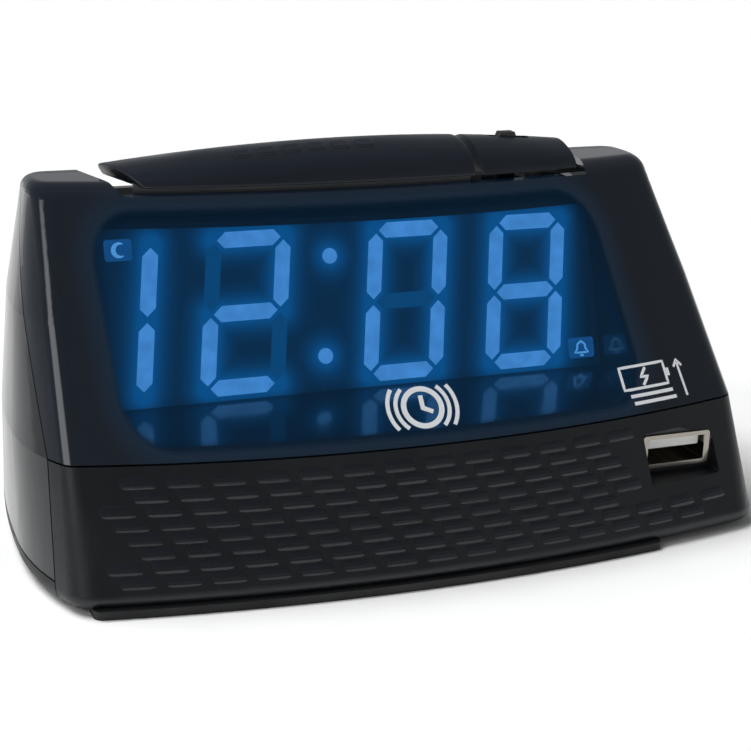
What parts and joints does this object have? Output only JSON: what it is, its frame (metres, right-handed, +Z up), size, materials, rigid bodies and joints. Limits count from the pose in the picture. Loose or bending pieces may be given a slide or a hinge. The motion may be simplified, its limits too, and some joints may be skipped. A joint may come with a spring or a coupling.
{
  "type": "alarm clock",
  "caption": "Bedside alarm clock: leaning smoked cover over a blue digit display, snooze bar and slide switch on top, woven-look lower band with a charging socket.",
  "frame": {"origin": "on the surface the clock stands on, under the middle of its bounding box", "axes": "+Z up, the display faces -Y, +X to the right of a person reading the clock"},
  "size_m": [0.1426, 0.0762, 0.0688],
  "materials": {
    "smoked_gloss": "smoked, high gloss",
    "black_gloss": "high gloss black",
    "black_satin": "satin black",
    "black_matte": "matte black",
    "woven_black": "satin black with a woven relief",
    "rubber_black": "matte rubber",
    "screw_steel": "zinc plated",
    "frame_dark": "dark reflector face",
    "lit_blue": "lit diffuser, blue",
    "unlit_diffuser": "unlit diffuser",
    "board_green": "glass fibre board with solder mask",
    "component_black": "moulded component bodies",
    "nickel": "nickel plated",
    "socket_white": "white insulator",
    "contact_gold": "gold plated",
    "wire_red": "wire insulation",
    "ribbon_grey": "ribbon cable",
    "cell_silver": "bare steel can",
    "contact_steel": "spring steel"
  },
  "bodies": {
    "case": {"display_cover": "smoked_gloss", "lower_bezel": "woven_black", "foot_strip": "rubber_black", "rear_case": "black_gloss", "base_cover": "black_satin", "rear_feet": "rubber_black", "case_screws": "screw_steel", "led_frame": "frame_dark", "lit_segments": "lit_blue", "unlit_segments": "unlit_diffuser", "colon_dots": "lit_blue", "evening_indicator": "lit_blue", "alarm_indicator": "lit_blue", "led_board": "board_green", "display_tray": "black_gloss", "button_tray": "black_matte", "switch_pod": "black_satin", "key_board": "board_green", "snooze_switches": "component_black", "alarm_switch_body": "component_black", "charging_socket": "nickel", "socket_tongue": "socket_white", "socket_contacts": "contact_gold", "charging_board": "board_green", "charging_parts": "component_black", "rear_tact_switches": "component_black", "dimmer_switch_body": "component_black", "main_board": "board_green", "board_parts": "component_black", "power_inlet": "component_black", "inlet_pin": "nickel", "buzzer": "component_black", "buzzer_wires": "wire_red", "ribbon_cable": "ribbon_grey", "backup_cells": "cell_silver", "cell_contacts": "contact_steel"},
    "snooze": {"snooze_bar": "black_satin"},
    "alarm_knob": {"alarm_switch_knob": "black_matte"},
    "time_key": {"time_button": "black_satin"},
    "alarm_key": {"alarm_button": "black_satin"},
    "hour_key": {"hour_button": "black_satin"},
    "minute_key": {"minute_button": "black_satin"},
    "dimmer": {"dimmer_knob": "black_satin"},
    "door": {"battery_door": "black_satin"}
  },
  "joints": [
    {"name": "snooze_press", "type": "slide", "parent": "case", "child": "snooze", "axis": [0, 0, -1], "range_m": [0, 0.001], "stiffness_N_per_m": 1500},
    {"name": "alarm_slide", "type": "slide", "parent": "case", "child": "alarm_knob", "axis": [1, 0, 0], "range_m": [-0.002, 0.002]},
    {"name": "time_press", "type": "slide", "parent": "case", "child": "time_key", "axis": [0, -1, 0], "range_m": [0, 0.0008], "stiffness_N_per_m": 1200},
    {"name": "alarm_press", "type": "slide", "parent": "case", "child": "alarm_key", "axis": [0, -1, 0], "range_m": [0, 0.0008], "stiffness_N_per_m": 1200},
    {"name": "hour_press", "type": "slide", "parent": "case", "child": "hour_key", "axis": [0, -1, 0], "range_m": [0, 0.0008], "stiffness_N_per_m": 1200},
    {"name": "minute_press", "type": "slide", "parent": "case", "child": "minute_key", "axis": [0, -1, 0], "range_m": [0, 0.0008], "stiffness_N_per_m": 1200},
    {"name": "dimmer_slide", "type": "slide", "parent": "case", "child": "dimmer", "axis": [1, 0, 0], "range_m": [-0.0015, 0.0015]},
    {"name": "door_slide", "type": "slide", "parent": "case", "child": "door", "axis": [0, 1, 0], "range_m": [0, 0.035]}
  ]
}
